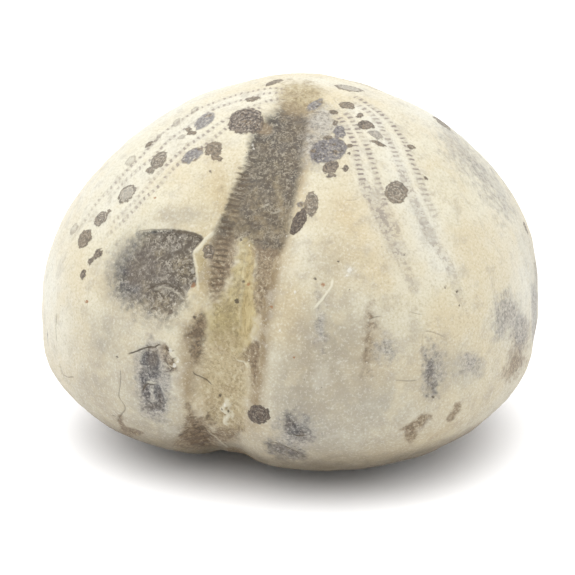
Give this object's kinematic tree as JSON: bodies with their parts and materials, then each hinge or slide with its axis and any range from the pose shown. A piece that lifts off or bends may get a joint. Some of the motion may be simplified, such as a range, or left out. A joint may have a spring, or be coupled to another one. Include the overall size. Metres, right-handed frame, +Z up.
{
  "type": "fossil sea urchin",
  "caption": "Domed fossil heart urchin of pale flint with a front groove, four faint petals and a flat spot underneath to rest on.",
  "frame": {"origin": "middle of the footprint's width and length, on the surface that the stone rests on", "axes": "+Z up through the summit; -Y to the front, where the groove runs down to the mouth; +X to the right of someone who looks at the front"},
  "size_m": [0.0594, 0.0564, 0.0445],
  "materials": {
    "fossil_stone": "dull, finely granular, with grey and brown stains"
  },
  "bodies": {
    "root": {"fossil_urchin": "fossil_stone"}
  },
  "joints": []
}
